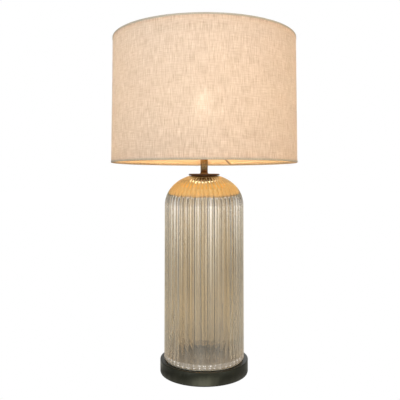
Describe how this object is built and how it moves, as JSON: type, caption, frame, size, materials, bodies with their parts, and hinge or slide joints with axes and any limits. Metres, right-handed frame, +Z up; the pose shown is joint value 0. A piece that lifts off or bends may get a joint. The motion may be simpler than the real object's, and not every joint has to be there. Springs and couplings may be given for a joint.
{
  "type": "table lamp",
  "caption": "Table lamp with a reeded glass cloche body on a round metal base, a short brass neck and a tapered linen drum shade.",
  "frame": {"origin": "centre of the felt pad's underside, on the surface that the lamp stands on", "axes": "+Z up along the lamp's axis, -Y the front as pictured, +Y the back where the cord's grommet is"},
  "size_m": [0.35, 0.35, 0.6283],
  "materials": {
    "felt": "black felt",
    "bronze": "dark bronze lacquer, satin",
    "iron": "rough casting",
    "rubber": "matt black",
    "clear_rubber": "translucent",
    "steel": "zinc plated",
    "glass": "clear champagne tint, moulded",
    "antique_brass": "antique brown, satin",
    "holder_plastic": "black phenolic",
    "porcelain": "unglazed white",
    "brass": "bright",
    "opal_glass": "frosted",
    "bulb_shell": "thin rolled shell",
    "black_glass": "glossy insulator",
    "quartz": "clear, lit",
    "linen": "slubby natural linen, plain weave",
    "tape": "narrow woven tape",
    "liner": "translucent styrene sheet",
    "frame_wire": "bronze coat on steel strip"
  },
  "bodies": {
    "lamp": {"base_pad": "felt", "base_shell": "bronze", "base_weight": "iron", "cord_grommet": "rubber", "tube_washers": "steel", "tube_nuts": "steel", "threaded_tube": "steel", "glass_gasket": "clear_rubber", "glass_body": "glass", "crown_bush": "rubber", "crown_gasket": "rubber", "cap_disc": "antique_brass", "neck_collar": "antique_brass", "neck_tube": "antique_brass", "holder_cap": "antique_brass", "holder_grub_screw": "steel", "holder_insert": "porcelain", "holder_skirt": "holder_plastic", "holder_contact": "brass", "holder_side_contact": "brass", "terminal_screws": "brass"},
    "shade": {"gimbal_ring": "frame_wire", "shade_cover": "linen", "shade_liner": "liner", "bottom_trim": "tape", "top_trim": "tape", "bottom_ring": "frame_wire", "top_ring": "frame_wire", "spider_arm_1": "frame_wire", "spider_arm_2": "frame_wire", "spider_arm_3": "frame_wire"},
    "shade_ring": {"shade_ring": "holder_plastic"},
    "bulb": {"bulb_envelope": "opal_glass", "bulb_stem": "quartz", "bulb_supports": "steel", "bulb_burner": "quartz", "bulb_cap": "bulb_shell", "bulb_insulator": "black_glass", "bulb_contact": "brass"}
  },
  "joints": [
    {"name": "shade_turn", "type": "hinge", "parent": "lamp", "child": "shade", "pos_m": [0, 0, 0.437], "axis": [0, 0, 1], "continuous": true},
    {"name": "shade_ring_unscrew", "type": "slide", "parent": "lamp", "child": "shade_ring", "axis": [0, 0, 1], "range_m": [0, 0.025]},
    {"name": "bulb_lift", "type": "slide", "parent": "lamp", "child": "bulb", "axis": [0, 0, 1], "range_m": [0, 0.2]}
  ]
}
